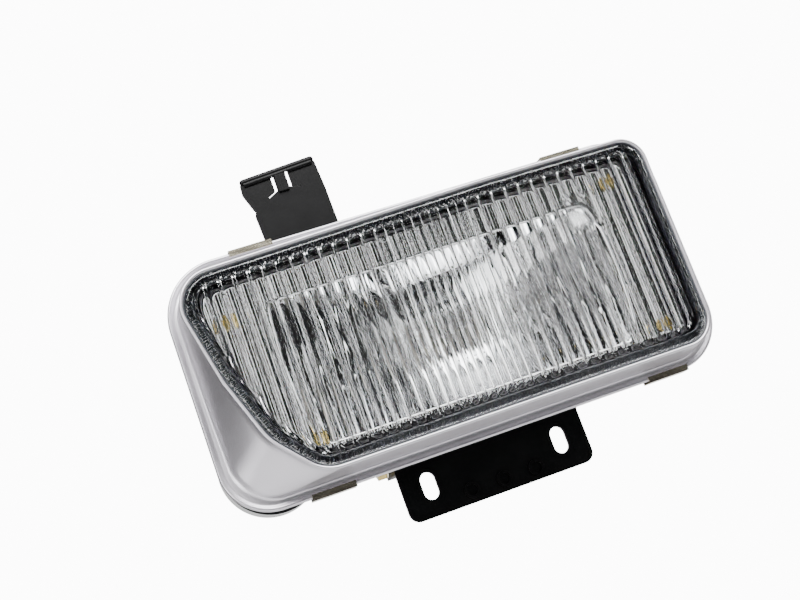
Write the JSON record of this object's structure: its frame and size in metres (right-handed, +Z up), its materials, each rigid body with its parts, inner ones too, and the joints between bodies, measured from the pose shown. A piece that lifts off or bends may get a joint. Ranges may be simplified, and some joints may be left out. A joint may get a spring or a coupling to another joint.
{
  "type": "rectangular fog lamp",
  "caption": "Rectangular clip-on fog lamp: fluted glass lens in a painted bezel, rear housing with twist-off wiring cap, tilting on a slotted lower bracket, with an upper bracket.",
  "frame": {"origin": "on the rear face of the lower bracket's slotted plate, midway between its two slots", "axes": "+Z up as installed, -Y the way the lamp shines, +X to the right seen from the front, along the slots' line"},
  "size_m": [0.2254, 0.0964, 0.1708],
  "materials": {
    "lens_glass": "clear pressed glass with vertical flutes",
    "seal_rubber": "blue-black rubber",
    "silver_paint": "satin silver paint",
    "gasket_rubber": "matt black rubber",
    "reflector_chrome": "vacuum-plated mirror",
    "zinc_screw": "zinc-plated steel",
    "bulb_quartz": "clear quartz",
    "tungsten": "dull grey wire",
    "bulb_metal": "satin nickel-plated steel",
    "spring_wire": "bright spring wire",
    "tinned_brass": "tinned brass",
    "lead_sleeve": "black sleeve",
    "terminal_plastic": "moulded plastic",
    "housing_plastic": "black filled plastic",
    "cap_plastic": "gloss black plastic",
    "clip_steel": "yellow-passivated spring steel",
    "bracket_paint": "satin black paint"
  },
  "bodies": {
    "bracket": {"lower_bracket": "bracket_paint"},
    "lamp": {"lens": "lens_glass", "lens_seal": "seal_rubber", "bezel": "silver_paint", "gasket": "gasket_rubber", "reflector": "reflector_chrome", "reflector_screws": "zinc_screw", "bulb_glass": "bulb_quartz", "bulb_filament": "tungsten", "bulb_base": "bulb_metal", "lead_socket": "tinned_brass", "bulb_lead": "lead_sleeve", "terminal_block": "terminal_plastic", "terminal_screws": "tinned_brass", "housing": "housing_plastic", "cable_grommet": "gasket_rubber", "vent_cap": "cap_plastic", "cap_seal": "gasket_rubber", "upper_bracket": "bracket_paint", "upper_screws": "zinc_screw", "pivot_screw_left": "zinc_screw", "pivot_screw_right": "zinc_screw", "pivot_washer_left": "clip_steel", "pivot_washer_right": "clip_steel"},
    "cap": {"chamber_cap": "cap_plastic"},
    "spring": {"bulb_spring": "spring_wire"},
    "clip_a": {"clip_top_left": "clip_steel"},
    "clip_b": {"clip_top_right": "clip_steel"},
    "clip_c": {"clip_low_left": "clip_steel"},
    "clip_d": {"clip_low_right": "clip_steel"}
  },
  "joints": [
    {"name": "lamp_tilt", "type": "hinge", "parent": "bracket", "child": "lamp", "pos_m": [0, 0.015, 0.018], "axis": [1, 0, 0], "range_deg": [-6, 6]},
    {"name": "cap_twist", "type": "hinge", "parent": "lamp", "child": "cap", "pos_m": [-0.0965, -0.005, 0.0318], "axis": [0, 1, 0], "range_deg": [0, 45]},
    {"name": "spring_swing", "type": "hinge", "parent": "lamp", "child": "spring", "pos_m": [-0.0085, -0.00101, 0.0785], "axis": [1, 0, 0], "range_deg": [0, 40]},
    {"name": "clip_top_left_pull", "type": "slide", "parent": "lamp", "child": "clip_a", "axis": [0, 0, 1], "range_m": [0, 0.008]},
    {"name": "clip_top_right_pull", "type": "slide", "parent": "lamp", "child": "clip_b", "axis": [0, 0, 1], "range_m": [0, 0.008]},
    {"name": "clip_low_left_pull", "type": "slide", "parent": "lamp", "child": "clip_c", "axis": [0, 0, -1], "range_m": [0, 0.008]},
    {"name": "clip_low_right_pull", "type": "slide", "parent": "lamp", "child": "clip_d", "axis": [0, 0, -1], "range_m": [0, 0.008]}
  ]
}
